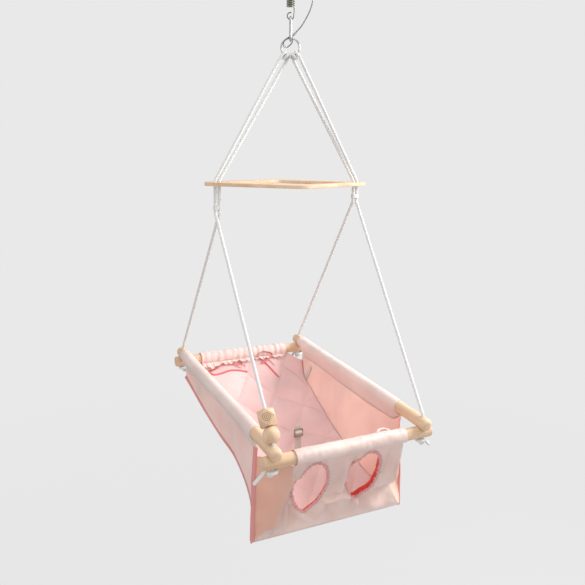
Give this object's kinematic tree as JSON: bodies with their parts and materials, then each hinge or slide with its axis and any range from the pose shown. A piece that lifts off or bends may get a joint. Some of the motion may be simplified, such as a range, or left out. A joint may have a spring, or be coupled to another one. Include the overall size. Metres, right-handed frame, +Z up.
{
  "type": "hanging baby cradle",
  "caption": "Hanging baby cradle: padded cloth seat in a wooden frame, on two ropes over a spreader from a ring, snap hook and coil spring under a ceiling plate.",
  "frame": {"origin": "middle of the ceiling plate's top face, where the plate lies against the ceiling", "axes": "+Z up to the ceiling, -Y to the cradle's front with the leg holes, +X to the sitter's left"},
  "size_m": [0.4638, 0.7089, 1.3948],
  "materials": {
    "steel": "zinc-plated steel",
    "spring_steel": "oiled spring wire",
    "cable_steel": "stranded steel cable",
    "rope": "white braided rope",
    "beech": "fine sanded, unvarnished",
    "pink_cloth": "woven cotton, light pink",
    "pale_cloth": "satin cotton, very light pink",
    "quilted_pad": "quilted cotton",
    "trim_cloth": "dusky pink piping and ribbon",
    "webbing": "woven webbing",
    "slider_plastic": "moulded, matt"
  },
  "bodies": {
    "ceiling": {"ceiling_plate": "steel", "ceiling_eye": "steel", "upper_cable_loop": "cable_steel", "upper_cable_ferrule": "steel", "safety_cable": "cable_steel"},
    "spring": {"spring_upper_loop": "spring_steel", "spring_coil": "spring_steel"},
    "spring_foot": {"spring_lower_loop": "spring_steel"},
    "snap_hook": {"snap_hook_body": "steel", "gate_pin": "steel"},
    "gate": {"snap_hook_gate": "steel"},
    "cradle": {"ring": "steel", "lower_cable_loop": "cable_steel", "lower_cable_ferrule": "steel", "left_rope": "rope", "right_rope": "rope", "left_whipping": "rope", "right_whipping": "rope", "left_dowel": "beech", "right_dowel": "beech", "front_dowel": "beech", "back_dowel": "beech", "left_side_panel": "pink_cloth", "right_side_panel": "pink_cloth", "left_piping": "trim_cloth", "right_piping": "trim_cloth", "back_sleeve": "pale_cloth", "front_panel": "pale_cloth", "left_leg_binding": "trim_cloth", "right_leg_binding": "trim_cloth", "seat_sheet": "pink_cloth", "seat_pad": "quilted_pad", "crotch_strap": "webbing", "strap_slider": "slider_plastic", "left_waist_tab": "webbing", "right_waist_tab": "webbing", "right_strap_end": "webbing", "left_tie": "trim_cloth", "right_tie": "trim_cloth", "front_tie": "trim_cloth"},
    "spreader": {"spreader": "beech"},
    "ball_bead": {"ball_bead": "beech"},
    "facet_bead": {"facet_bead": "beech"}
  },
  "joints": [
    {"name": "twist", "type": "hinge", "parent": "ceiling", "child": "spring", "pos_m": [0, 0, -0.025], "axis": [0, 0, 1], "range_deg": [-20, 20], "stiffness_Nm_per_rad": 0.6},
    {"name": "bounce", "type": "slide", "parent": "spring", "child": "spring_foot", "axis": [0, 0, -1], "range_m": [0, 0.08], "stiffness_N_per_m": 1000, "springref_m": -0.045, "deforming": ["spring_coil", "safety_cable"]},
    {"name": "hook_swing", "type": "hinge", "parent": "spring_foot", "child": "snap_hook", "pos_m": [0, 0, -0.1772], "axis": [0.9136, -0.4067, 0], "range_deg": [-20, 20]},
    {"name": "gate_hinge", "type": "hinge", "parent": "snap_hook", "child": "gate", "pos_m": [-0.00407, -0.00914, -0.2122], "axis": [-0.9136, 0.4067, 0], "range_deg": [0, 30], "stiffness_Nm_per_rad": 0.01, "springref_deg": -28.65},
    {"name": "cradle_swing", "type": "hinge", "parent": "snap_hook", "child": "cradle", "pos_m": [0, 0, -0.2264], "axis": [0.4067, 0.9136, 0], "range_deg": [-20, 20]},
    {"name": "spreader_tilt", "type": "hinge", "parent": "cradle", "child": "spreader", "pos_m": [0, 0.00036, -0.57509], "axis": [1, 0, 0], "range_deg": [-6, 6]},
    {"name": "ball_bead_slide", "type": "slide", "parent": "cradle", "child": "ball_bead", "axis": [-0.0089, 0.5815, 0.8135], "range_m": [0, 0.05]},
    {"name": "facet_bead_slide", "type": "slide", "parent": "ball_bead", "child": "facet_bead", "axis": [-0.0089, 0.5815, 0.8135], "range_m": [0, 0.05]}
  ]
}
